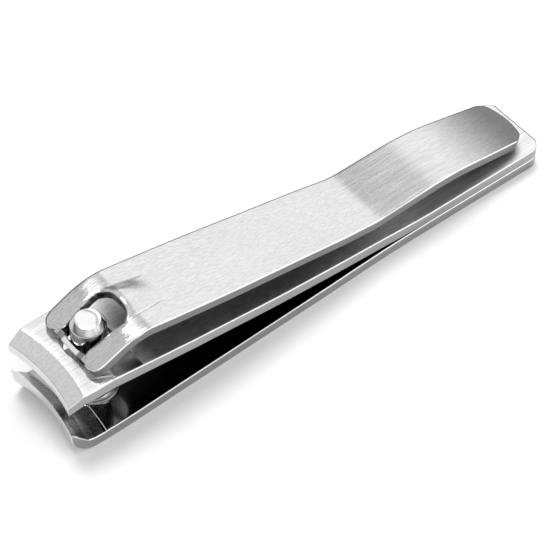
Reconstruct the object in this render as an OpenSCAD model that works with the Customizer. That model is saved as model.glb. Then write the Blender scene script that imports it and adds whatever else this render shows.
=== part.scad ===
// Lever nail clipper in its stored position, lying on its lower jaw.
// Millimetres. X runs from the cutting edges (low X) to the tail, Y is across
// the clipper and is square to its plane of symmetry, Z is up from the table.

/* [Jaws] */
// Overall length, from the corners of the cutting edge to the tail.
length = 80; // [74:1:86]
// Thickness of the sheet both jaws are pressed from.
jaw_t = 1.65; // [1.4:0.05:1.8]
// Half width of each jaw at the corners of the cutting edge.
tip_half = 6.4; // [5.8:0.1:6.8]
// Half width of each jaw where it is broadest, beside the pin.
jaw_half = 6.85; // [6.5:0.05:7.5]
// Half width of the parallel tail.
tail_half = 5.6; // [4.5:0.1:6.5]
// Radius of the rounded corners of the tail.
tail_r = 2; // [0.5:0.5:4]
// Height of the flat pad of the upper jaw above the table.
pad_z = 10.75; // [10:0.05:10.8]
// Where the two jaws part company, measured from the cutting edge.
root_x = 57.5; // [56:0.5:60]

/* [Cutting edges] */
// Radius of the hollow curve of both cutting edges, seen from above.
edge_r = 26; // [22:1:40]
// How far the middle of the cutting edge is set back.
edge_set = 0.8; // [0.4:0.1:1.2]
// Height of the upper cutting edge.
upper_edge_z = 8.17; // [8:0.01:8.6]
// Height of the lower cutting edge.
lower_edge_z = 4.32; // [3.8:0.01:4.4]
// Height of the bright ground band along the upper edge.
band_h = 1.48; // [1:0.02:1.8]

/* [Pin] */
// Distance of the pin's axis from the cutting edge.
pin_x = 7.82; // [7.8:0.02:8.2]
// Radius of the pin.
pin_r = 2.32; // [2.2:0.02:2.36]
// Height of the top of the pin.
pin_top = 14.9; // [14.5:0.1:15.5]
// Radius of the flat on top of the pin.
pin_flat_r = 1.62; // [1.2:0.02:2]
// Height of the chamfer round the top of the pin.
pin_chamfer = 0.9; // [0.4:0.1:1.2]
// Radius of the foot that holds the pin in the lower jaw.
foot_r = 2.75; // [2.6:0.05:2.9]
// Radius of the clearance hole in the upper jaw.
pin_hole_r = 3.4; // [3:0.05:3.5]

/* [Lever] */
// Thickness of the lever.
lever_t = 1.5; // [1.3:0.05:1.6]
// Where the lever ends, measured from the cutting edge.
lever_end = 78.2; // [74:0.1:80]
// Distance of the lever's hinge bar from the cutting edge.
bar_x = 5.32; // [5.24:0.02:5.4]
// Height of the hinge bar.
bar_z = 11.54; // [11.5:0.01:11.6]
// Radius of the hinge bar.
bar_r = 0.5; // [0.4:0.02:0.56]
// Half width of the window round the pin.
window_half = 2.7; // [2.6:0.05:3]
// Height of the thrust hood behind the window.
hood_h = 0.87; // [0.5:0.01:1.1]

/* [Hidden] */
$fn = 96;
blank_half = 9;                   // half width of a blank before it is trimmed
edge_axis = edge_set - edge_r;    // X of the upright axis of the edge curve
turn_play = 0.06;                 // radial play of the parts that turn
seat_gap = 0.03;                  // gap between faces that slide or roll
flex_z = 1.5 * jaw_t + 0.025;     // height of the line the upper jaw flexes about
flex_r = jaw_t / 2;               // rounded inner end of the upper jaw's arm
boss_r = 3.1;                     // raised seat of the pin on the lower jaw
boss_top = 2.5;
foot_h = 0.85;                    // the pin's foot lies inside the seat
foot_lift = 0.05;
rivet_x = 69;                     // the flush rivet that joins the two tails
rivet_r = 1.5;
toe_y = 4.25;                     // the two rounded toes beside the hinge bar
toe_r = 1.5;
toe_back = 1.5;                   // from the hinge bar to the toes' widest point
toe_reach = bar_z - pad_z - seat_gap;
hood_x = 12.55;                   // mouth of the thrust hood
hood_len = 6;
hood_half = 2.9;
plate_fall = 10.69;               // downward slope of the lever's long plate
plate_top = 14.68;                // height at which that plate would meet the mouth
window_back = 12.5;
grip_r = 10;                      // curve of the lever's tail end
tall = 20;
bend_step = 2;                    // degrees between the folds of a rounded bend

// Plan shape of both jaws: [distance from the edge, half width].
jaw_stations = [
    [0, tip_half], [2, 6.6], [8.5, jaw_half], [16, 6.7], [28, 6.4], [40, 6.05],
    [54, tail_half], [length, tail_half]
];

// Plan shape of the lever behind its toes: [distance from the edge, half width].
lever_stations = [
    [5.9, 5.72], [11, 5.75], [16, 5.8], [26, 5.77], [38, 5.46], [45, 5.26],
    [50, 4.97], [59, 4.84], [66, 4.64], [lever_end, 4.17]
];

// Bends of the upper jaw from its root to the nose, and of the lever from its
// nose to the tail end: [straight run, turn in degrees, inner bend radius].
arm_rise = 6.1;
arm_bends = [[8, 1.2, 200], [9.8, 1.8, 200], [9.3, 1.6, 120], [24, 0, 0]];
lever_rise = 23.9;
lever_bends = [
    [4.4, -25.1, 8.8], [0.3, 25.1 - lever_rise - plate_fall, 1.2],
    [36.15, 12.5, 10.9], [7.6, -12.8, 38], [16, 0, 0]
];

// Turns a drawing in X and Z into a solid across the clipper.
module across(half = blank_half) {
    rotate([90, 0, 0])
        linear_extrude(height = 2 * half, center = true)
            children();
}

// Turns a drawing in X and Z into a ring about the axis of the cutting edges.
// X in the drawing is the distance from the edge along the centre line.
module round_edge_axis() {
    translate([edge_axis, 0, 0])
        rotate_extrude($fn = 360)
            translate([-edge_axis, 0])
                children();
}

// Everything in front of the hollow curve of the cutting edges.
module hollow_front() {
    translate([edge_axis, 0, -1])
        cylinder(r = edge_r, h = tall, $fn = 360);
}

// A round bar lying across the clipper.
module cross_bar(x, z, r, half = blank_half) {
    translate([x, 0, z])
        rotate([90, 0, 0])
            cylinder(r = r, h = 2 * half, center = true);
}

// Points round one bend as [x, z, heading]: from point p and heading h, turning
// by the given degrees at radius r.
function bend_points(p, h, turn, r) =
    let (
        steps = max(1, ceil(abs(turn) / bend_step)),
        side = sign(turn),
        centre = p + side * r * [-sin(h), cos(h)]
    )
    [for (k = [1 : steps])
        let (a = h + turn * k / steps)
        [centre.x + side * r * sin(a), centre.y - side * r * cos(a), a]];

// The whole path of a sheet's top face as [x, z, heading], bend after bend.
function sheet_path(bends, t, p = [0, 0], h = 0, i = 0) =
    i == len(bends) ? [] :
    let (
        run = bends[i][0],
        turn = bends[i][1],
        r = bends[i][2] + (turn < 0 ? t : 0),
        q = p + run * [cos(h), sin(h)],
        bend = turn == 0 ? [] : bend_points(q, h, turn, r),
        end = turn == 0 ? [q.x, q.y, h] : bend[len(bend) - 1]
    )
    concat([[q.x, q.y, h]], bend, sheet_path(bends, t, [end.x, end.y], end.z, i + 1));

// A bent sheet seen from the side, lying below the path of its top face.
module bent_sheet(bends, t) {
    path = concat([[0, 0, 0]], sheet_path(bends, t));
    last = len(path) - 1;
    top = [for (s = path) [s.x, s.y]];
    bottom = [for (i = [last : -1 : 0])
        [path[i].x + t * sin(path[i].z), path[i].y - t * cos(path[i].z)]];
    polygon(concat(top, bottom));
}

// Plan outline through a list of stations, the same on both sides.
module plan(stations) {
    last = len(stations) - 1;
    near = [for (i = [0 : last]) [stations[i][0], -stations[i][1]]];
    far = [for (i = [last : -1 : 0]) [stations[i][0], stations[i][1]]];
    polygon(concat(near, far));
}

// Plan outline of both jaws with the tail's corners rounded.
module jaw_plan() {
    intersection() {
        plan(jaw_stations);
        union() {
            translate([0, -blank_half])
                square([length - tail_r, 2 * blank_half]);
            translate([0, tail_r - tail_half])
                square([length, 2 * (tail_half - tail_r)]);
            for (side = [-1, 1])
                translate([length - tail_r, side * (tail_half - tail_r)])
                    circle(r = tail_r);
        }
    }
}

// Plan outline of the lever: two toes, long sides and a curved tail end.
module lever_plan() {
    toe_x = bar_x - toe_reach + toe_back;
    intersection() {
        union() {
            plan(lever_stations);
            for (side = [-1, 1])
                translate([toe_x, side * toe_y])
                    circle(r = toe_r);
        }
        union() {
            translate([0, -blank_half])
                square([lever_end - grip_r, 2 * blank_half]);
            translate([lever_end - grip_r, 0])
                circle(r = grip_r);
        }
    }
}

// Flat strip with a nose turned up to the lower cutting edge.
module lower_jaw() {
    nose_len = 6;
    bend_r = 3.2;
    color("Silver")
        difference() {
            union() {
                intersection() {
                    union() {
                        translate([nose_len, -blank_half, 0])
                            cube([length - nose_len, 2 * blank_half, jaw_t]);
                        translate([0, -blank_half, 0])
                            cube([nose_len, 2 * blank_half, lower_edge_z]);
                    }
                    linear_extrude(height = tall)
                        jaw_plan();
                }
                translate([pin_x, 0, 0])
                    cylinder(r = boss_r, h = boss_top);
            }
            // hollow front, outside bend and inner face of the nose
            hollow_front();
            round_edge_axis()
                difference() {
                    translate([edge_set - 1, -1])
                        square([bend_r + 1, bend_r + 1]);
                    translate([edge_set + bend_r, bend_r])
                        circle(r = bend_r);
                }
            round_edge_axis()
                polygon([
                    [edge_set - 1, lower_edge_z], [edge_set, lower_edge_z],
                    [edge_set + 2.2, 1.9], [edge_set + 3, jaw_t],
                    [2 * nose_len, jaw_t], [2 * nose_len, tall],
                    [edge_set - 1, tall]
                ]);
            // seat of the pin's foot, the pin's bore and the rivet's bore
            translate([pin_x, 0, -1])
                cylinder(r = foot_r + turn_play, h = 1 + foot_lift + foot_h + 0.03);
            translate([pin_x, 0, -1])
                cylinder(r = pin_r + turn_play, h = tall);
            translate([rivet_x, 0, -1])
                cylinder(r = rivet_r + seat_gap, h = tall);
        }
}

// The upper jaw in front of its root: rises to a flat pad, then to the edge.
module upper_arm() {
    pad_bottom = pad_z - jaw_t;
    slope_run = 2.1;
    hollow_run = 2.4;
    pad_len = 11;
    color("Silver")
        difference() {
            intersection() {
                union() {
                    across()
                        difference() {
                            union() {
                                translate([root_x, flex_z])
                                    mirror([1, 0])
                                        rotate(arm_rise)
                                            translate([0, flex_r])
                                                bent_sheet(arm_bends, jaw_t);
                                translate([root_x, flex_z])
                                    circle(r = flex_r);
                            }
                            // everything above the pad's top face
                            translate([-5, pad_z])
                                square([pad_len + 5, tall]);
                        }
                    translate([0, -blank_half, upper_edge_z])
                        cube([pad_len - 7, 2 * blank_half, pad_z - upper_edge_z]);
                }
                linear_extrude(height = tall)
                    plan(jaw_stations);
            }
            // hollow front, sloping face and inner face of the nose
            hollow_front();
            round_edge_axis()
                polygon([
                    [edge_set - 1, upper_edge_z + band_h],
                    [edge_set, upper_edge_z + band_h],
                    [edge_set + slope_run, pad_z], [edge_set + slope_run, tall],
                    [edge_set - 1, tall]
                ]);
            round_edge_axis()
                polygon([
                    [edge_set - 1, upper_edge_z], [edge_set, upper_edge_z],
                    [edge_set + hollow_run, pad_bottom], [pad_len - 5, pad_bottom],
                    [pad_len - 5, 2], [edge_set - 1, 2]
                ]);
            translate([pin_x, 0, -1])
                cylinder(r = pin_hole_r, h = tall);
        }
}

// The upper jaw behind its root, lying flat on the lower jaw's tail.
module upper_tail() {
    color("Gainsboro")
        difference() {
            intersection() {
                translate([root_x, -blank_half, jaw_t])
                    cube([length, 2 * blank_half, jaw_t]);
                linear_extrude(height = tall)
                    jaw_plan();
            }
            cross_bar(root_x, flex_z, flex_r + seat_gap);
            translate([rivet_x, 0, -1])
                cylinder(r = rivet_r + seat_gap, h = tall);
        }
}

// Upright pin with a foot, a chamfered top and a notch for the hinge bar.
module pin() {
    neck_z = pin_top - pin_chamfer;
    color("DimGray")
        difference() {
            union() {
                translate([pin_x, 0, foot_lift])
                    cylinder(r = foot_r, h = foot_h);
                translate([pin_x, 0, foot_lift])
                    cylinder(r = pin_r, h = neck_z - foot_lift);
                translate([pin_x, 0, neck_z])
                    cylinder(r1 = pin_r, r2 = pin_flat_r, h = pin_chamfer);
            }
            cross_bar(bar_x, bar_z, bar_r + turn_play);
        }
}

// Pressed lever with its hinge bar, window, thrust hood and bent tail.
module lever() {
    hood_r = (hood_half * hood_half + hood_h * hood_h) / (2 * hood_h);
    nose_x = 4.5;
    nose_top = 11.93;
    color("WhiteSmoke") {
        difference() {
            union() {
                intersection() {
                    across()
                        translate([nose_x, nose_top])
                            rotate(lever_rise)
                                bent_sheet(lever_bends, lever_t);
                    linear_extrude(height = tall)
                        lever_plan();
                }
                hood(hood_r, 0);
            }
            hood(hood_r - 0.75 * lever_t, 1);
            // window round the pin, open to the front between the toes
            translate([0, -window_half, 0])
                cube([window_back, 2 * window_half, tall]);
            // underside level with the pad, toes rounded about the hinge bar
            translate([0, -blank_half, 0])
                cube([9, 2 * blank_half, pad_z + seat_gap]);
            difference() {
                translate([0, -blank_half, 0])
                    cube([bar_x, 2 * blank_half, tall]);
                cross_bar(bar_x, bar_z, toe_reach, blank_half + 1);
            }
        }
        cross_bar(bar_x, bar_z, bar_r, toe_y);
    }
}

// Half-cone shape of the thrust hood; extra lengthens both of its ends.
module hood(r, extra) {
    translate([hood_x, 0, plate_top])
        rotate([0, 90 + plate_fall, 0])
            intersection() {
                translate([0, 0, -extra])
                    translate([-hood_h, 0, 0])
                        translate([r, 0, 0])
                            cylinder(r1 = r, r2 = r - hood_h, h = hood_len + extra);
                translate([-2, -hood_half, -extra])
                    cube([3, 2 * hood_half, hood_len + extra]);
            }
}

// Flush rivet through both tails.
module tail_rivet() {
    color("Gray")
        translate([rivet_x, 0, foot_lift])
            cylinder(r = rivet_r, h = 2 * (jaw_t - foot_lift));
}

translate([-length / 2, 0, 0]) {
    lower_jaw();
    upper_arm();
    upper_tail();
    pin();
    lever();
    tail_rivet();
}
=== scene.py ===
"""Looks of the lever nail clipper: pressed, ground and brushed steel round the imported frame."""
import math

import bmesh
import bpy
from mathutils import Matrix, Vector


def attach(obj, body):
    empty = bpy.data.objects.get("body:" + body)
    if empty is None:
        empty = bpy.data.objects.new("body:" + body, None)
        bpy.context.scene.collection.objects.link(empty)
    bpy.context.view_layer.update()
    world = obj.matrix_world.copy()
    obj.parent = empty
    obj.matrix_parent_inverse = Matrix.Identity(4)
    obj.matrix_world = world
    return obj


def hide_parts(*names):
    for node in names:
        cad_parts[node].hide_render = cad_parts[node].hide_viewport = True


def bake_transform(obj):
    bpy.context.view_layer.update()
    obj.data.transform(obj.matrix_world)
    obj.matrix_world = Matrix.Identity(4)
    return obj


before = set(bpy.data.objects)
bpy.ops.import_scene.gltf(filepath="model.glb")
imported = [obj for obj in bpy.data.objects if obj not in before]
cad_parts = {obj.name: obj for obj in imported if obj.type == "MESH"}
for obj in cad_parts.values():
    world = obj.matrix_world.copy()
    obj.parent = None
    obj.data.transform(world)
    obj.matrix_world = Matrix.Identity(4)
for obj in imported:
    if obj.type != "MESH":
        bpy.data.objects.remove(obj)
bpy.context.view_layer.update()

MM = 0.001
LENGTH = 80.0                     # the frame's origin is half way along this
MIDDLE = LENGTH / 2

# ---- sizes in millimetres; x is measured from the corners of the cutting edge
JAW_T = 1.65
PAD_Z = 10.75
TAIL_HALF = 5.6
ROOT_X = 57.5
EDGE_R = 26.0                     # hollow curve of the cutting edges
EDGE_SET = 0.8
EDGE_AXIS = EDGE_SET - EDGE_R
UPPER_EDGE_Z = 8.17
UPPER_BAND_Z = 9.65
LOWER_EDGE_Z = 4.32
PIN_X = 7.82
PIN_R = 2.32
PIN_TOP = 14.9
PIN_FLAT_R = 1.62
PIN_HOLE_R = 3.4
BOSS_R = 3.1
BOSS_TOP = 2.5
LEDGE_X = 5.43                    # a low ledge across the floor of the lower jaw
LEDGE = 0.06
RIVET_X = 69.0
RIVET_R = 1.5
BAR_X = 5.32                      # the lever's hinge bar
BAR_Z = 11.54
BAR_R = 0.5
TOE_REACH = 0.76
LEVER_T = 1.5
LEVER_END = 78.2
LEVER_CORNER = 1.7
LEVER_RIM = 0.28                  # rounding of the lever's edges
TAIL_CORNER = 2.0
JAW_RIM = 0.21                    # rounding of the jaws' edges
RIVET_PLAY = 0.03                 # gap round the rivet in its holes

# ---- how finely the shapes are cut
SHARP_FOLD = 28                   # degrees; anything flatter is shaded smooth
JAW_COLUMNS = 40
TURNED_STEPS = 96
BAR_STEPS = 64

# half widths as (x, half width)
JAW_PLAN = [(0, 6.5), (2, 6.85), (5, 7.02), (9, 6.98), (16, 6.75), (28, 6.4), (40, 6.05),
            (54, TAIL_HALF), (80, TAIL_HALF)]
LEVER_PLAN = [(5.9, 5.68), (8, 5.72), (11, 5.75), (16, 5.8), (26, 5.77), (32, 5.62), (38, 5.46),
              (45, 5.3), (50, 5.06), (59, 4.95), (66, 4.78), (78.2, 4.33)]
# straight run, turn in degrees, inner bend radius
ARM_RISE = 6.1
ARM_BENDS = [(8, 1.2, 200), (9.8, 1.8, 200), (9.3, 1.6, 120), (24, 0, 0)]
LEVER_RISE = 23.9
LEVER_BENDS = [(4.4, -25.1, 8.8), (0.3, -9.49, 1.2), (36.15, 12.5, 10.9), (7.6, -12.8, 38), (16, 0, 0)]


# ------------------------------------------------------------------ shapes

def table_at(table, x):
    """Linear interpolation in a list of (x, value)."""
    if x <= table[0][0]:
        return table[0][1]
    for (x0, v0), (x1, v1) in zip(table, table[1:]):
        if x <= x1:
            return v0 + (v1 - v0) * (x - x0) / (x1 - x0)
    return table[-1][1]


def smooth_at(table, x):
    """Smooth interpolation in a list of (x, value)."""
    if x <= table[0][0]:
        return table[0][1]
    if x >= table[-1][0]:
        return table[-1][1]
    slopes = []
    for i in range(len(table)):
        a = table[max(i - 1, 0)]
        b = table[min(i + 1, len(table) - 1)]
        slopes.append((b[1] - a[1]) / (b[0] - a[0]))
    for i in range(len(table) - 1):
        (x0, v0), (x1, v1) = table[i], table[i + 1]
        if x <= x1:
            h = x1 - x0
            t = (x - x0) / h
            return (
                v0 * (1 + 2 * t) * (1 - t) ** 2 + h * slopes[i] * t * (1 - t) ** 2
                + v1 * t * t * (3 - 2 * t) + h * slopes[i + 1] * t * t * (t - 1)
            )


def blend_step(t):
    """0 to 1 as t goes from 0 to 1, level at both ends."""
    t = min(1.0, max(0.0, t))
    return t * t * (3 - 2 * t)


def sheet_path(bends, thick, x, z, heading, step):
    """Points (x, z, heading in radians) down a bent sheet's top face, about step apart."""
    fold = 1.5                    # degrees between points round a bend
    h = math.radians(heading)
    points = [(x, z, h)]
    for run, turn, radius in bends:
        count = max(1, round(run / step))
        for _ in range(count):
            x += run / count * math.cos(h)
            z += run / count * math.sin(h)
            points.append((x, z, h))
        if turn:
            r = radius + (thick if turn < 0 else 0)
            arc = abs(math.radians(turn)) * r
            count = max(round(abs(turn) / fold), round(arc / step), 2)
            for _ in range(count):
                part = math.radians(turn) / count
                chord = 2 * r * math.sin(abs(part) / 2)
                x += chord * math.cos(h + part / 2)
                z += chord * math.sin(h + part / 2)
                h += part
                points.append((x, z, h))
    return points


def to_object(name, bm):
    """A mesh object from a bmesh in millimetres, moved to the frame's origin."""
    bmesh.ops.recalc_face_normals(bm, faces=bm.faces)
    for v in bm.verts:
        v.co = Vector((v.co.x - MIDDLE, v.co.y, v.co.z)) * MM
    mesh = bpy.data.meshes.new(name)
    bm.to_mesh(mesh)
    bm.free()
    obj = bpy.data.objects.new(name, mesh)
    bpy.context.scene.collection.objects.link(obj)
    shade(mesh)
    return obj


def shade(mesh):
    """Smooth shading, broken at the folds."""
    mesh.polygons.foreach_set("use_smooth", [True] * len(mesh.polygons))
    mesh.set_sharp_from_angle(angle=math.radians(SHARP_FOLD))


def grid_solid(bm, top, bottom, keep=None):
    """A plate from two matching grids of points, walled round wherever the kept cells end.
    The edges round both faces are marked for the bevel."""
    cells = {
        (i, j) for i in range(len(top) - 1) for j in range(len(top[0]) - 1)
        if keep is None or keep(i, j)
    }
    used = {(i + a, j + b) for i, j in cells for a in (0, 1) for b in (0, 1)}
    up = {k: bm.verts.new(top[k[0]][k[1]]) for k in used}
    down = {k: bm.verts.new(bottom[k[0]][k[1]]) for k in used}
    weight = bm.edges.layers.float.new("bevel_weight_edge")
    for i, j in cells:
        ring = [(i, j), (i + 1, j), (i + 1, j + 1), (i, j + 1)]
        bm.faces.new([up[k] for k in ring])
        bm.faces.new([down[k] for k in reversed(ring)])
    for i, j in cells:
        sides = [
            ((i - 1, j), (i, j), (i, j + 1)), ((i + 1, j), (i + 1, j), (i + 1, j + 1)),
            ((i, j - 1), (i, j), (i + 1, j)), ((i, j + 1), (i, j + 1), (i + 1, j + 1)),
        ]
        for neighbour, a, b in sides:
            if neighbour not in cells:
                wall = bm.faces.new([up[a], up[b], down[b], down[a]])
                for edge in wall.edges:
                    ends = set(edge.verts)
                    if ends == {up[a], up[b]} or ends == {down[a], down[b]}:
                        edge[weight] = 1.0


def revolve(bm, profile, x):
    """A closed solid from (radius, height) pairs turned about the upright axis at x."""
    rings = []
    for r, z in profile:
        if r == 0:
            rings.append([bm.verts.new((x, 0, z))])
        else:
            rings.append([
                bm.verts.new((x + r * math.cos(2 * math.pi * k / TURNED_STEPS),
                              r * math.sin(2 * math.pi * k / TURNED_STEPS), z))
                for k in range(TURNED_STEPS)
            ])
    for a, b in zip(rings, rings[1:]):
        for k in range(TURNED_STEPS):
            n = (k + 1) % TURNED_STEPS
            ring = [a[k % len(a)], a[n % len(a)], b[n % len(b)], b[k % len(b)]]
            corners = []
            for v in ring:
                if v not in corners:
                    corners.append(v)
            if len(corners) > 2:
                bm.faces.new(corners)


def cross_rod(bm, x, z, r, half):
    """A round bar lying across the clipper."""
    ends = []
    for y in (-half, half):
        ends.append([
            bm.verts.new((x + r * math.cos(2 * math.pi * k / BAR_STEPS), y,
                          z + r * math.sin(2 * math.pi * k / BAR_STEPS)))
            for k in range(BAR_STEPS)
        ])
    for k in range(BAR_STEPS):
        n = (k + 1) % BAR_STEPS
        bm.faces.new([ends[0][k], ends[0][n], ends[1][n], ends[1][k]])
    bm.faces.new(ends[0])
    bm.faces.new(ends[1])


def modified(obj, cuts=(), joins=(), shells=(), bevel=0.0):
    """Bevels the marked edges, then adds and cuts the other solids, leaving a plain mesh.
    Shells are closed solids that are only laid into it."""
    if bevel:
        m = obj.modifiers.new("rims", "BEVEL")
        m.limit_method = "WEIGHT"
        m.width = bevel * MM
        m.segments = 4
        m.use_clamp_overlap = False
    for other, operation in [(o, "UNION") for o in joins] + [(o, "DIFFERENCE") for o in cuts]:
        m = obj.modifiers.new(operation, "BOOLEAN")
        m.object = other
        m.operation = operation
        m.solver = "EXACT"
    bpy.context.view_layer.update()
    graph = bpy.context.evaluated_depsgraph_get()
    mesh = bpy.data.meshes.new_from_object(obj.evaluated_get(graph))
    obj.modifiers.clear()
    obj.data = mesh
    mesh.name = obj.name
    if shells:
        bm = bmesh.new()
        bm.from_mesh(mesh)
        for other in shells:
            bm.from_mesh(other.data)
        bm.to_mesh(mesh)
        bm.free()
    shade(mesh)
    for other in list(cuts) + list(joins) + list(shells):
        bpy.data.objects.remove(other)
    m = obj.modifiers.new("flat_normals", "WEIGHTED_NORMAL")
    m.keep_sharp = True
    m.weight = 80
    return obj


def hole_cutter(x, r, low, high, chamfer=0.12):
    """A round cutter that leaves a small chamfer where it enters and leaves."""
    bm = bmesh.new()
    reach = 1.0                   # how far it stands out of the sheet
    revolve(bm, [
        (0, low - reach), (r + chamfer + reach, low - reach), (r, low + chamfer),
        (r, high - chamfer), (r + chamfer + reach, high + reach), (0, high + reach),
    ], x)
    return to_object("cutter", bm)


# ------------------------------------------------------------------ jaws

def jaw_half(x):
    """Half width of a jaw, with the rounded corners of its tail."""
    half = smooth_at(JAW_PLAN, x)
    if x > LENGTH - TAIL_CORNER:
        back = min(TAIL_CORNER, x - (LENGTH - TAIL_CORNER))
        half = TAIL_HALF - TAIL_CORNER + math.sqrt(max(0.0, TAIL_CORNER ** 2 - back ** 2))
    return half


def jaw_rows(stations):
    """Grid rows from (x on the centre line, z) stations, bowed like the cutting edge near it."""
    bowed_to = 3.2
    straight_after = 6.0
    rows = []
    for c, z in stations:
        bow = 1 - blend_step((c - bowed_to) / straight_after)
        r = c - EDGE_AXIS
        row = []
        for j in range(JAW_COLUMNS + 1):
            t = -1 + 2 * j / JAW_COLUMNS
            x = c
            # the width depends on the place and the place on the width, so settle them in turns
            for _ in range(3):
                y = jaw_half(x) * t
                x = c - bow * (r - math.sqrt(r * r - y * y))
            row.append(Vector((x, y, z)))
        rows.append(row)
    return rows


def tail_stations(start):
    """x stations from start to the tail, closer together round its corners."""
    xs = []
    x = start
    while x < LENGTH - TAIL_CORNER - 1e-6:
        xs.append(x)
        x += 1.0
    for k in range(9):
        xs.append(LENGTH - TAIL_CORNER + TAIL_CORNER * math.sin(math.radians(10 * k)))
    return xs


def lower_nose():
    """Matching (x, z) stations of the lower jaw's nose: its inside face and its outside one."""
    bend_r = 3.2
    inside = [(EDGE_SET, LOWER_EDGE_Z), (3.0, 1.95), (3.25, 1.8), (3.9, JAW_T)]
    # the upright band below the edge, then the round outside bend
    outside = [(EDGE_SET, LOWER_EDGE_Z - 0.07), (EDGE_SET, 3.9), (EDGE_SET, 3.55), (EDGE_SET, bend_r)]
    for k in range(1, 13):
        a = math.radians(7.5 * k)
        outside.append((EDGE_SET + bend_r * (1 - math.cos(a)), bend_r * (1 - math.sin(a))))
    # the inside slopes down to its foot while the outside goes round the bend
    foot = 3.0
    foot_row = 9
    xs = [EDGE_SET + (foot - EDGE_SET) * k / foot_row for k in range(foot_row)]
    rest = len(outside) - 1 - foot_row
    xs += [foot + (EDGE_SET + bend_r - foot) * k / rest for k in range(rest + 1)]
    return [(x, table_at(inside, x)) for x in xs], outside


def floor_ledge(x):
    """Height of the ledge across the lower jaw's floor, which fades out behind the pin."""
    if x < LEDGE_X:
        return 0.0
    return LEDGE * (1 - blend_step((x - 6) / 5))


def make_lower_jaw():
    """The lower jaw with its turned-up nose, the seat of the pin and the rivet's hole."""
    top, low = lower_nose()
    xs = [4.6, LEDGE_X - 0.3, LEDGE_X - 0.02, LEDGE_X + 0.05, LEDGE_X + 0.35]
    xs += [6.2 + 0.6 * k for k in range(10)]
    xs += tail_stations(12.5)
    top += [(x, JAW_T + floor_ledge(x)) for x in xs]
    low += [(x, 0.0) for x in xs]
    bm = bmesh.new()
    grid_solid(bm, jaw_rows(top), jaw_rows(low))
    thin_edge(bm, LOWER_EDGE_Z)
    jaw = to_object("lower_jaw_strip", bm)
    rivet_hole = hole_cutter(RIVET_X, RIVET_R + RIVET_PLAY, 0, 3)
    return modified(jaw, cuts=[seat_cutter(), rivet_hole], joins=[make_boss()], bevel=JAW_RIM)


def make_boss():
    """The round raised seat of the pin, with a soft foot and rim."""
    bm = bmesh.new()
    revolve(bm, [
        (0, 0.6), (BOSS_R + 0.35, 0.6), (BOSS_R + 0.35, JAW_T - 0.02), (BOSS_R + 0.12, JAW_T + 0.1),
        (BOSS_R + 0.02, JAW_T + 0.35), (BOSS_R - 0.02, BOSS_TOP - 0.14),
        (BOSS_R - 0.06, BOSS_TOP - 0.05), (BOSS_R - 0.16, BOSS_TOP), (0, BOSS_TOP),
    ], PIN_X)
    return to_object("boss", bm)


def seat_cutter():
    """The pin's bore through the lower jaw and the recess for its foot below."""
    foot_r = 2.81
    foot_top = 0.89
    bore_r = 2.38
    bm = bmesh.new()
    revolve(bm, [
        (0, -1), (3.9, -1), (foot_r, 0.06), (foot_r, foot_top), (bore_r, foot_top),
        (bore_r, BOSS_TOP - 0.1), (2.9, BOSS_TOP + 0.4), (0, BOSS_TOP + 0.4),
    ], PIN_X)
    return to_object("seat", bm)


def thin_edge(bm, z):
    """Takes most of the bevel off the ground cutting edge at height z, which is sharp."""
    weight = bm.edges.layers.float.get("bevel_weight_edge")
    for edge in bm.edges:
        if all(abs(math.hypot(v.co.x - EDGE_AXIS, v.co.y) - EDGE_R) < 0.02 and abs(v.co.z - z) < 0.12
               for v in edge.verts):
            edge[weight] = 0.12


def arm_path():
    """The upper jaw's top face from the root to the nose as (x, z, heading), x falling."""
    h = math.radians(ARM_RISE)
    x0 = ROOT_X + JAW_T / 2 * math.sin(h)
    z0 = 2.5 + JAW_T / 2 * math.cos(h)
    path = sheet_path(ARM_BENDS, JAW_T, 0, z0, ARM_RISE, step=1.0)
    return [(x0 - x, z, a) for x, z, a in path]


def add_station(top, low, x, z, heading, seam=0.0):
    """A station of the upper strip: its top face, and its underside square below the slope."""
    top.append((x, z))
    low.append((x - JAW_T * math.sin(heading), z - JAW_T * math.cos(heading) + seam))


def upper_stations():
    """Matching (x, z) stations of the upper jaw from its edge to its tail."""
    # the sloping face above the edge and the soft crease where it meets the pad
    top = [(EDGE_SET, UPPER_BAND_Z), (1.5, 10.017), (2.2, 10.383), (2.78, 10.687), (2.9, 10.73),
           (3.05, PAD_Z)]
    low = [(EDGE_SET, UPPER_EDGE_Z), (1.6, 8.495), (2.4, 8.82), (3.0, 9.06), (3.2, 9.1),
           (3.6, PAD_Z - JAW_T)]
    path = arm_path()
    fold = max(x for x, z, heading in path if z >= PAD_Z - 0.12)
    x = 3.8
    while x < fold - 0.7:
        add_station(top, low, x, PAD_Z, 0.0)
        x += 0.5
    # a soft fold between the pad and the long slope
    fold_r = 3.0
    slope = path[-1][2]
    for k in range(6):
        a = slope * k / 5
        add_station(top, low, fold - 0.6 + fold_r * math.sin(a), PAD_Z - fold_r * (1 - math.cos(a)), a)
    # the slope, led smoothly out of the fold, down to the root
    fold_end, fold_z = top[-1]
    first = fold_end + 0.5
    lift = fold_z - table_at(sorted((x, z) for x, z, heading in path), fold_end)
    for x, z, heading in reversed(path):
        if first < x < ROOT_X - 2:
            add_station(top, low, x, z + lift * (1 - blend_step((x - first) / 10)), heading)
    # the root, where the slope runs out on the lower jaw
    seam = 0.004
    for x in (56.5, 57.2, 57.9, 58.6, 59.4, 60.3):
        heading = math.radians(ARM_RISE) * (1 - blend_step((x - 54.5) / 6.2))
        add_station(top, low, x, 2 * JAW_T + 0.45 * max(0.0, 1 - (x - 54.6) / 5.6) ** 2, heading, seam)
    for x in tail_stations(61.2):
        add_station(top, low, x, 2 * JAW_T, 0.0, seam)
    return top, low


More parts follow.
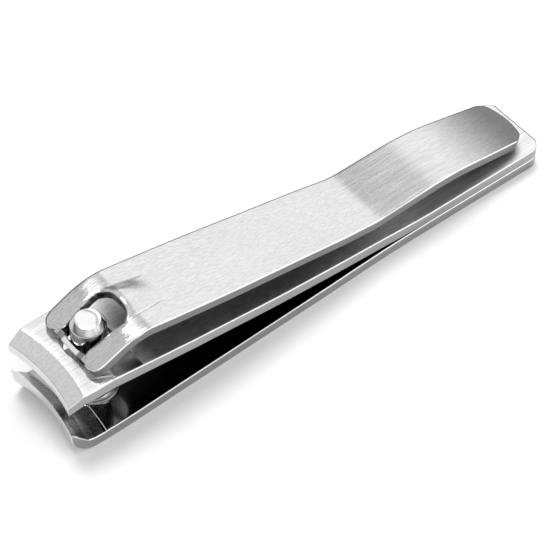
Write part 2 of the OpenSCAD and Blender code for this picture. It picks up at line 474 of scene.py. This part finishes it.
def make_upper_jaw():
    """The upper jaw as one strip, with the pin's clearance hole and the rivet's hole."""
    top, low = upper_stations()
    bm = bmesh.new()
    grid_solid(bm, jaw_rows(top), jaw_rows(low))
    thin_edge(bm, UPPER_EDGE_Z)
    jaw = to_object("upper_jaw_strip", bm)
    pin_hole = hole_cutter(PIN_X, PIN_HOLE_R, PAD_Z - JAW_T - 0.1, PAD_Z, chamfer=0.1)
    rivet_hole = hole_cutter(RIVET_X, RIVET_R + RIVET_PLAY, JAW_T, 2 * JAW_T)
    return modified(jaw, cuts=[pin_hole, rivet_hole], bevel=JAW_RIM)


# ------------------------------------------------------------------ lever

LEVER_PATH = sheet_path(LEVER_BENDS, LEVER_T, 4.5, 11.93, LEVER_RISE, step=0.5)
LEVER_TOP = [(x, z) for x, z, heading in LEVER_PATH]
LEVER_HEADING = [(x, heading) for x, z, heading in LEVER_PATH]
TOE_FRONT = BAR_X - TOE_REACH
TOE_BACK = 6.2                    # the toes' rounded outline ends here
WINDOW_BACK = 12.5
WINDOW_HALF = 2.93
HOOD_START = 9.0
HOOD_SLOPE = 0.36
# where the points of a rounded rim lie, as parts of its radius from the edge
RIM_PLACES = (0, 0.02, 0.07, 0.2, 0.45, 1.0)
# half width of the window round the pin, carried on as the flank of the thrust hood
WINDOW_PLAN = [(4.56, 3.9), (4.66, 3.6), (4.8, 3.3), (5.0, 3.0), (5.32, 2.7), (5.7, 2.5), (6.2, 2.42),
               (7.0, 2.5), (7.82, 2.62), (9.0, 2.74), (10.6, 2.9), (11.6, 2.93), (13, 2.9),
               (15.3, 2.72), (18.3, 2.3), (21, 2.2), (26, 2.4), (78.2, 2.0)]
TOE_PLAN = [(4.56, 4.35), (4.6, 4.62), (4.7, 4.88), (4.85, 5.12), (5.05, 5.34), (5.32, 5.5), (5.7, 5.62),
            (TOE_BACK, 5.69)]


def lever_outer(x):
    """Half width of the lever, with its rounded toes and tail corners."""
    half = smooth_at(LEVER_PLAN, x) if x > TOE_BACK else smooth_at(TOE_PLAN, x)
    if x > LEVER_END - LEVER_CORNER:
        back = min(LEVER_CORNER, x - (LEVER_END - LEVER_CORNER))
        half -= LEVER_CORNER - math.sqrt(max(0.0, LEVER_CORNER ** 2 - back ** 2))
    return half


def lever_inner(x):
    """Half width of the window and, behind it, of the hood."""
    return smooth_at(WINDOW_PLAN, x)


def window_back(y):
    """Rear edge of the window, bowed forwards into round corners."""
    return WINDOW_BACK - 1.25 * min(1.0, abs(y) / WINDOW_HALF) ** 4.5


def tail_end(y):
    """The lever's tail edge, slightly bowed outwards."""
    return LEVER_END - 0.75 * (y / 3.8) ** 2


def hood_rise(x, y):
    """How far the thrust hood stands above the lever's plate, with the crease along its foot."""
    if x < HOOD_START or x > 19.4:
        return 0.0
    foot = lever_inner(x) + 0.03
    shoulder = 0.6 * foot
    reach = min(abs(y), foot)
    # a round crown as far as the shoulders and straight flanks from there to the foot
    crown = HOOD_SLOPE * min(reach, shoulder) ** 2 / (2 * shoulder)
    flank = HOOD_SLOPE * max(0.0, reach - shoulder)
    full = HOOD_SLOPE * (foot - shoulder / 2)
    along = blend_step((x - HOOD_START) / 3.0) if x < 12.0 else 1 - blend_step((x - 13.6) / 5.6)
    crease = 0.0
    if x >= WINDOW_BACK + 0.4:
        depth = 0.11
        width = 0.16
        crease = depth * max(0.0, 1 - abs(abs(y) - foot) / width) * min(1.0, along * 2)
    return (full - crown - flank) * 1.12 * along - crease


# the window's outline on one side, as points close together
WINDOW_LINE = (
    [(5.0 + 0.06 * k, lever_inner(5.0 + 0.06 * k)) for k in range(105)]
    + [(window_back(WINDOW_HALF * k / 60), WINDOW_HALF * k / 60) for k in range(61)]
)


def edge_distance(x, y):
    """Distance in plan from a place on the lever to the nearest edge of it."""
    y = abs(y)
    gap = min(lever_outer(min(x, LEVER_END - LEVER_CORNER)) - y, tail_end(y) - x)
    if x > LEVER_END - 2.0:
        gap = min(gap, lever_outer(x) - y)
    if x < 14:
        gap = min(gap, min(math.hypot(x - wx, y - wy) for wx, wy in WINDOW_LINE))
    return max(0.0, gap)


def rim_drop(gap, r):
    """How far a rounded rim lies below the face, at a distance from the edge."""
    if gap >= r:
        return 0.0
    return r - math.sqrt(max(0.0, r * r - (r - gap) ** 2))


def lever_point(x, y):
    """(top, bottom) of the lever at a place in plan."""
    a = table_at(LEVER_HEADING, x)
    top_z = table_at(LEVER_TOP, x) + hood_rise(x, y)
    gap = edge_distance(x, y)
    # the thickness is square to the slope along the plate, and upright at the toes
    upright = blend_step((10.5 - x) / 3)
    low_x = x + LEVER_T * math.sin(a) * (1 - upright)
    low_z = top_z - LEVER_T * math.cos(a) * (1 - upright) - LEVER_T / math.cos(a) * upright
    if x < HOOD_START:
        low_z = max(low_z, PAD_Z + 0.03)
    # the toes' fronts are round about the hinge bar
    if x < BAR_X:
        reach = math.sqrt(max(0.0, TOE_REACH ** 2 - (BAR_X - x) ** 2))
        top_z = min(top_z, BAR_Z + max(reach, 0.1))
        low_z = max(low_z, BAR_Z - max(reach, 0.1))
        low_x = x
    thick = top_z - low_z
    rim = min(LEVER_RIM, thick * 0.4)
    return (Vector((x, y, top_z - rim_drop(gap, rim))),
            Vector((low_x, y, low_z + rim_drop(gap, rim * 0.8))))


def spaced(low, high, count, r):
    """Places from low to high, crowded within r of both ends where the rims turn."""
    first = [low + r * t for t in RIM_PLACES]
    last = [high - r * t for t in reversed(RIM_PLACES)]
    step = (last[0] - first[-1]) / count
    return first + [first[-1] + step * k for k in range(1, count)] + last


def lever_stations():
    """x places of the lever's rows: crowded round the toes, at the window's back edge and at the tail."""
    xs = [TOE_FRONT, 4.565, 4.58, 4.61, 4.65, 4.7, 4.76, 4.84, 4.94, 5.06, 5.2, 5.36, 5.55, 5.8, 6.1]
    x = 6.35
    while x < WINDOW_BACK - 0.1:
        xs.append(x)
        x += 0.22
    xs += [WINDOW_BACK + LEVER_RIM * t for t in RIM_PLACES]
    x = xs[-1] + 0.2
    while x < 21:
        xs.append(x)
        x += 0.22
    while x < LEVER_END - 1.9:
        xs.append(x)
        x += 0.6
    return xs + [LEVER_END - LEVER_CORNER * (1 - math.sin(math.radians(9 * k))) for k in range(11)]


def make_lever():
    """The lever: two legs with the window between them, the hood, the plate and the tail."""
    leg_spans = 6
    window_spans = 30
    xs = lever_stations()
    top = []
    low = []
    for c in xs:
        outer = lever_outer(c)
        inner = lever_inner(c)
        if c > 60:
            inner *= outer / smooth_at(LEVER_PLAN, c)
        leg_ys = spaced(inner, outer, leg_spans, LEVER_RIM)
        middle = [-inner + 2 * inner * k / window_spans for k in range(1, window_spans)]
        top_row = []
        low_row = []
        for y in [-y for y in reversed(leg_ys)] + middle + leg_ys:
            # the rows follow the curve of the window's back edge and that of the tail
            bow = WINDOW_BACK - window_back(min(abs(y), WINDOW_HALF))
            bow *= blend_step(1 - abs(c - WINDOW_BACK) / 3.2)
            bow += (LEVER_END - tail_end(y)) * blend_step((c - 70) / (LEVER_END - 70))
            t, b = lever_point(c - bow, y)
            top_row.append(t)
            low_row.append(b)
        top.append(top_row)
        low.append(low_row)
    back_row = xs.index(WINDOW_BACK)
    leg = len(leg_ys) - 1

    def keep(i, j):
        return not (i < back_row and leg <= j < leg + window_spans)

    bm = bmesh.new()
    grid_solid(bm, top, low, keep)
    return modified(to_object("lever_strip", bm), shells=[make_strap()])


def make_strap():
    """The strap across the nose that turns in the pin's notch, rising to the toes at its ends."""
    corners = 16
    half = 0.4
    corner_r = 0.47
    lean = math.radians(28)
    half_ys = (1.0, 1.3, 1.6, 1.9, 2.2, 2.6, 3.0, 3.5)
    bm = bmesh.new()
    rows = []
    for y in [-y for y in reversed(half_ys)] + [0] + list(half_ys):
        spread = blend_step((abs(y) - 1.0) / 1.6)
        x = BAR_X - 0.12 * (1 - spread)
        z = BAR_Z - 0.1 * (1 - spread) + 0.1 * spread
        row = []
        for k in range(corners):
            # a bar with flat faces and rounded corners, its broad face turned up and forwards
            a = 2 * math.pi * (k + 0.5) / corners
            square = half / max(abs(math.cos(a)), abs(math.sin(a)))
            r = min(square, corner_r) * (1 + 0.15 * spread)
            row.append(bm.verts.new((x + r * math.cos(a + lean), y, z + r * math.sin(a + lean))))
        rows.append(row)
    for a, b in zip(rows, rows[1:]):
        for k in range(corners):
            n = (k + 1) % corners
            bm.faces.new([a[k], a[n], b[n], b[k]])
    bm.faces.new(rows[0])
    bm.faces.new(rows[-1])
    return to_object("strap", bm)


# ------------------------------------------------------------------ pin and rivet

def make_pin():
    """The pin: a foot, a round shank, a chamfered head and the notch for the lever's bar."""
    foot_r = 2.75
    neck = PIN_TOP - 0.9
    bm = bmesh.new()
    revolve(bm, [
        (0, 0.05), (foot_r - 0.13, 0.05), (foot_r - 0.03, 0.09), (foot_r, 0.18), (foot_r, 0.78),
        (foot_r - 0.05, 0.85), (PIN_R + 0.04, 0.87), (PIN_R, 0.95), (PIN_R, 6.0), (PIN_R, neck - 0.12),
        (PIN_R - 0.03, neck - 0.02), (PIN_R - 0.09, neck + 0.07), (PIN_FLAT_R + 0.1, PIN_TOP - 0.09),
        (PIN_FLAT_R + 0.04, PIN_TOP - 0.03), (PIN_FLAT_R - 0.06, PIN_TOP), (0.9, PIN_TOP), (0, PIN_TOP),
    ], PIN_X)
    pin = to_object("pin_post", bm)
    bm = bmesh.new()
    cross_rod(bm, BAR_X, BAR_Z, BAR_R + 0.15, 4)
    return modified(pin, cuts=[to_object("notch", bm)])


def make_rivet():
    """The flush rivet through both strips, with soft rims."""
    top = 2 * JAW_T
    bm = bmesh.new()
    revolve(bm, [
        (0, 0.03), (RIVET_R - 0.12, 0.03), (RIVET_R - 0.03, 0.07), (RIVET_R, 0.16),
        (RIVET_R, top - 0.16), (RIVET_R - 0.03, top - 0.07), (RIVET_R - 0.12, top - 0.03), (0, top - 0.03),
    ], RIVET_X)
    return to_object("rivet", bm)


# ------------------------------------------------------------------ materials

def steel(name, colour, rough, brush, bump, fades=()):
    """Bare steel brushed lengthwise: fine and coarse lines, clouds, faint scratches and bump.
    Each fade (x from, x to, factor) changes the tone along the clipper."""
    mat = bpy.data.materials.new(name)
    mat.use_nodes = True
    nodes = mat.node_tree.nodes
    links = mat.node_tree.links
    nodes.clear()
    out = nodes.new("ShaderNodeOutputMaterial")
    shader = nodes.new("ShaderNodeBsdfPrincipled")
    shader.inputs["Metallic"].default_value = 1.0
    links.new(shader.outputs[0], out.inputs[0])
    place = nodes.new("ShaderNodeTexCoord")

    def stretched(scale, detail, noise_scale, rough_value=0.6):
        mapping = nodes.new("ShaderNodeMapping")
        mapping.inputs["Scale"].default_value = scale
        noise = nodes.new("ShaderNodeTexNoise")
        noise.inputs["Scale"].default_value = noise_scale
        noise.inputs["Detail"].default_value = detail
        noise.inputs["Roughness"].default_value = rough_value
        links.new(place.outputs["Object"], mapping.inputs["Vector"])
        links.new(mapping.outputs[0], noise.inputs["Vector"])
        return noise.outputs["Fac"]

    def ramp(source, low, high, from_value, to_value, smooth=False):
        node = nodes.new("ShaderNodeMapRange")
        node.interpolation_type = "SMOOTHSTEP" if smooth else "LINEAR"
        node.inputs["From Min"].default_value = low
        node.inputs["From Max"].default_value = high
        node.inputs["To Min"].default_value = from_value
        node.inputs["To Max"].default_value = to_value
        links.new(source, node.inputs["Value"])
        return node.outputs["Result"]

    def combine(operation, a, b):
        node = nodes.new("ShaderNodeMath")
        node.operation = operation
        links.new(a, node.inputs[0])
        links.new(b, node.inputs[1])
        return node.outputs[0]

    fine = stretched((0.12, 42, 42), 4, 130.0, 0.75)
    coarse = stretched((1.6, 11, 11), 3, 90.0)
    cloud = stretched((1, 1, 1), 4, 95.0, 0.55)
    marks = stretched((0.7, 9, 9), 8, 420.0, 0.75)

    lines = combine(
        "ADD", ramp(fine, 0.3, 0.7, -brush, brush), ramp(coarse, 0.3, 0.7, -brush * 0.2, brush * 0.2))
    tone = combine("ADD", ramp(cloud, 0.3, 0.7, 0.97, 1.02), lines)
    along = nodes.new("ShaderNodeSeparateXYZ")
    links.new(place.outputs["Object"], along.inputs[0])
    for start, end, factor in fades:
        tone = combine(
            "MULTIPLY", tone,
            ramp(along.outputs["X"], (start - MIDDLE) * MM, (end - MIDDLE) * MM, 1.0, factor, smooth=True))
    scaled = nodes.new("ShaderNodeVectorMath")
    scaled.operation = "SCALE"
    scaled.inputs[0].default_value = colour
    links.new(tone, scaled.inputs["Scale"])
    links.new(scaled.outputs[0], shader.inputs["Base Color"])

    rough_lines = combine(
        "ADD", ramp(fine, 0.25, 0.75, rough * 0.8, rough * 1.25), ramp(cloud, 0.35, 0.7, 0.0, rough * 0.2))
    scratches = ramp(marks, 0.68, 0.74, 0.0, rough * 0.3)
    links.new(combine("ADD", rough_lines, scratches), shader.inputs["Roughness"])

    height = combine("ADD", fine, ramp(marks, 0.66, 0.74, 0.0, -0.6))
    node = nodes.new("ShaderNodeBump")
    node.inputs["Strength"].default_value = bump
    node.inputs["Distance"].default_value = 0.00002
    links.new(height, node.inputs["Height"])
    links.new(node.outputs[0], shader.inputs["Normal"])
    return mat


def dress(obj, materials, body, nodes, pick=None):
    """Materials and body of a piece, hiding the imported parts it replaces; pick chooses a material for
    each face.
    """
    obj.data.materials.clear()
    for material in materials:
        obj.data.materials.append(material)
    if pick:
        for face in obj.data.polygons:
            middle = face.center / MM
            face.material_index = pick(middle.x + MIDDLE, middle.y, middle.z, face.normal)
    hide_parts(*nodes)
    if body:
        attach(obj, body)


def lower_jaw_face(x, y, z, normal):
    """Faces of the lower jaw: painted shade on the floor and the sides, the ground zone behind the edge
    darkened with painted shade, polished rest.
    """
    # painted shade on the floor inside the lower jaw
    if normal.z > 0.9 and 1.2 < z < 2.0 and x + y * y / (2 * EDGE_R) > LEDGE_X:
        return 1
    # the ground zone: ground finish, darkened with painted shade
    if 0.93 < x < LEDGE_X + 0.1 and 1.5 < z < 4.2 and (normal.x > 0.3 or normal.z > 0.9):
        return 3
    # painted shade on the side faces
    return 2 if abs(normal.z) < 0.3 and abs(normal.y) > 0.8 else 0


def upper_jaw_face(x, y, z, normal):
    """Faces of the upper jaw: painted shade on the underside, in the pin hole, on the sides and on the top
    behind the pad under the lever.
    """
    in_hole = abs(normal.z) < 0.5 and 3.9 < x < 11.8 and abs(normal.y) < 0.98
    # painted shade on the underside and in the pin hole
    if normal.z < -0.9 and 3.4 < x < ROOT_X or in_hole:
        return 1
    # painted shade on the top under the lever
    if normal.z > 0.9 and x > 11.3:
        return 3
    # painted shade on the side faces
    return 2 if abs(normal.z) < 0.3 and abs(normal.y) > 0.8 else 0


def lever_face(x, y, z, normal):
    """Faces of the lever: painted shade on the underside, the strap's flanks, the sides, the far rim and
    the tail's end face; painted highlight on the near rim and the strap's top.
    """
    # the strap: painted highlight on its top, painted shade on its flanks
    if x < BAR_X + 0.7 and abs(y) < 2.55 and z < 12.15:
        return 3 if abs(y) < 1.5 and normal.z > 0.1 else 1
    # painted shade on the underside
    if normal.z < -0.6 and x > 8:
        return 1
    in_window = 6 < x < WINDOW_BACK + 0.5 and abs(y) < WINDOW_HALF + 0.1
    # painted shade on the sides and the window's walls
    if abs(normal.z) < 0.25 or in_window and normal.z < 0.72:
        return 2
    # painted shade on the far rim and the tail's end face
    if normal.y > 0.12 and y > 3.6 or normal.x > 0.3 and x > 77:
        return 4
    # painted highlight on the near rim
    return 3 if normal.z < 0.9 and normal.y < -0.4 and y < -3.6 else 0


def pin_face(x, y, z, normal):
    """The pin's shank has painted shade, darker than its polished flat head, with the chamfer between them
    in a lighter painted shade.
    """
    # painted shade on the shank
    if z < PIN_TOP - 1.0:
        return 1
    # lighter painted shade on the chamfer
    return 0 if normal.z > 0.9 else 2


jaw_steel = steel("jaw_steel", (0.68, 0.68, 0.68), 0.15, 0.15, 0.4)
# painted shade: a dark copy of the steel for the faces inside the jaws
inner_painted_shade_steel = steel("jaw_inner_painted_shade", (0.16, 0.16, 0.165), 0.1, 0.03, 0.15)
# painted shade: a dark copy of the steel for the side faces of the jaws
side_painted_shade_steel = steel("jaw_side_painted_shade", (0.35, 0.35, 0.355), 0.2, 0.1, 0.3)
# ground finish behind the lower edge, darkened with painted shade inside the jaws
ground_and_shade_steel = steel("jaw_ground_and_painted_shade", (0.3, 0.3, 0.3), 0.24, 0.2, 0.5)
# painted shade under the lever on the upper jaw's top: darker from x 14, lighter again towards the tail
slope_painted_shade_steel = steel("jaw_slope_painted_shade", (0.72, 0.72, 0.725), 0.36, 0.3, 0.8,
                    [(11, 14, 0.45), (26, 60, 1.64)])
# painted shade darkening the lever's tail
lever_steel = steel("lever_steel", (0.56, 0.56, 0.56), 0.14, 0.16, 0.6, [(63.5, 77, 0.26)])
# painted shade: a dark copy of the lever steel for its underside and the strap's flanks, lighter towards
# the tail
under_painted_shade_steel = steel("lever_under_painted_shade", (0.26, 0.26, 0.265), 0.25, 0.04, 0.2, [(34, 60, 2.4)])
# painted shade: a dark copy of the steel for the lever's sides and window walls
flank_painted_shade_steel = steel("lever_flank_painted_shade", (0.2, 0.2, 0.203), 0.2, 0.1, 0.3)
# painted shade: a near black copy of the steel for the lever's far rim and tail end
rim_painted_shade_steel = steel("lever_rim_painted_shade", (0.1, 0.1, 0.102), 0.2, 0.03, 0.15)
# the pin's polished steel, also a painted highlight on the lever's near rim and the strap's top
pin_steel = steel("pin_steel", (0.84, 0.84, 0.84), 0.09, 0.02, 0.12)
# painted shade: a dark copy of the pin steel for its shank
shank_painted_shade_steel = steel("pin_shank_painted_shade", (0.27, 0.27, 0.27), 0.16, 0.03, 0.2)
# lighter painted shade: a mid copy of the pin steel for its chamfer
chamfer_painted_shade_steel = steel("pin_chamfer_painted_shade", (0.5, 0.5, 0.5), 0.12, 0.03, 0.15)
rivet_steel = steel("rivet_steel", (0.6, 0.6, 0.6), 0.2, 0.04, 0.3)

# the lists of materials are in the order of the numbers the face functions give
lower_jaw = make_lower_jaw()
dress(lower_jaw, [jaw_steel, inner_painted_shade_steel, side_painted_shade_steel, ground_and_shade_steel],
      "frame", ["lower_jaw"], lower_jaw_face)
upper_jaw = make_upper_jaw()
dress(upper_jaw, [jaw_steel, inner_painted_shade_steel, side_painted_shade_steel, slope_painted_shade_steel],
      None, ["upper_arm", "upper_tail"], upper_jaw_face)
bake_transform(upper_jaw)
lever = make_lever()
dress(lever, [lever_steel, under_painted_shade_steel, flank_painted_shade_steel, pin_steel, rim_painted_shade_steel],
      "lever_body", ["lever"], lever_face)
pin = make_pin()
dress(pin, [pin_steel, shank_painted_shade_steel, chamfer_painted_shade_steel], "pin_body", ["pin"], pin_face)
rivet = make_rivet()
dress(rivet, [rivet_steel], "frame", ["tail_rivet"])


# ------------------------------------------------------------------ stage

def floor_material():
    """The plain white ground."""
    mat = bpy.data.materials.new("floor")
    mat.use_nodes = True
    nodes = mat.node_tree.nodes
    shader = nodes["Principled BSDF"]
    shader.inputs["Base Color"].default_value = (0.8, 0.8, 0.8, 1)
    shader.inputs["Roughness"].default_value = 0.6
    return mat


def make_floor():
    """A floor so wide that its edges stay out of every view, in metres."""
    bm = bmesh.new()
    bmesh.ops.create_grid(bm, x_segments=1, y_segments=1, size=12.0)
    mesh = bpy.data.meshes.new("floor")
    bm.to_mesh(mesh)
    bm.free()
    obj = bpy.data.objects.new("floor", mesh)
    bpy.context.scene.collection.objects.link(obj)
    mesh.materials.append(floor_material())
    return obj


floor = make_floor()


def sun(name, toward, strength, spread):
    """A sun in the direction toward, spread degrees wide."""
    data = bpy.data.lights.new(name, "SUN")
    data.energy = strength
    data.angle = math.radians(spread)
    obj = bpy.data.objects.new(name, data)
    obj.rotation_euler = (-Vector(toward)).to_track_quat("-Z", "Y").to_euler()
    bpy.context.scene.collection.objects.link(obj)


sun("key", (0.1, 0.3, 0.95), 1.4, 20)


def studio():
    """The pale room: a wide window low on the +X side, a soft fill on the near side, a dark skirting."""
    world = bpy.data.worlds.new("studio")
    bpy.context.scene.world = world
    world.use_nodes = True
    nodes = world.node_tree.nodes
    links = world.node_tree.links
    direction = nodes.new("ShaderNodeTexCoord")
    parts = nodes.new("ShaderNodeSeparateXYZ")
    links.new(direction.outputs["Generated"], parts.inputs[0])

    def band(axis, start, end, from_value, to_value):
        node = nodes.new("ShaderNodeMapRange")
        node.interpolation_type = "SMOOTHSTEP"
        node.inputs["From Min"].default_value = start
        node.inputs["From Max"].default_value = end
        node.inputs["To Min"].default_value = from_value
        node.inputs["To Max"].default_value = to_value
        links.new(parts.outputs[axis], node.inputs["Value"])
        return node.outputs["Result"]

    def combine(operation, a, b):
        node = nodes.new("ShaderNodeMath")
        node.operation = operation
        links.new(a, node.inputs[0])
        links.new(b, node.inputs[1])
        return node.outputs[0]

    wall = band("X", -0.35, 0.0, 0.88, 0.64)
    panel_on = band("X", 0.05, 0.2, 0.0, 0.5)
    panel_off = band("X", 0.355, 0.395, 0.0, -0.58)
    window = band("X", 0.438, 0.465, 0.0, 0.89)
    fill = band("Y", -0.75, -0.45, 0.7, 0.0)
    skirting = band("Z", 0.06, 0.38, 0.2, 1.0)
    light = wall
    for part in (panel_on, panel_off, window, fill):
        light = combine("ADD", light, part)
    light = combine("MULTIPLY", light, skirting)
    links.new(light, nodes["Background"].inputs["Strength"])
    nodes["Background"].inputs["Color"].default_value = (1, 1, 1, 1)


studio()


# ------------------------------------------------------------------ camera

# where the photograph was taken from, fitted to the outline of the clipper
AZIMUTH = math.radians(-38.94)
ELEVATION = math.radians(49.72)
ROLL = math.radians(0.49)
TARGET = Vector((-4.51, -2.82, 5.0)) * MM
DISTANCE = 300 * MM
FOCAL_LENGTH = 149.4              # millimetres, on a sensor 36 wide


def set_camera():
    """The camera of the photograph, looking at TARGET from DISTANCE away."""
    back = Vector((math.sin(AZIMUTH) * math.cos(ELEVATION), -math.cos(AZIMUTH) * math.cos(ELEVATION),
                   math.sin(ELEVATION)))
    right = Vector((math.cos(AZIMUTH), math.sin(AZIMUTH), 0))
    up = back.cross(right)
    tilted_right = right * math.cos(ROLL) + up * math.sin(ROLL)
    tilted_up = up * math.cos(ROLL) - right * math.sin(ROLL)
    data = bpy.data.cameras.new("camera")
    data.lens = FOCAL_LENGTH
    data.sensor_width = 36
    data.clip_start = 0.01
    obj = bpy.data.objects.new("camera", data)
    turn = Matrix((tilted_right, tilted_up, back)).transposed().to_4x4()
    obj.matrix_world = Matrix.Translation(TARGET + back * DISTANCE) @ turn
    bpy.context.scene.collection.objects.link(obj)
    bpy.context.scene.camera = obj
    bpy.context.scene.view_settings.view_transform = "Standard"


set_camera()
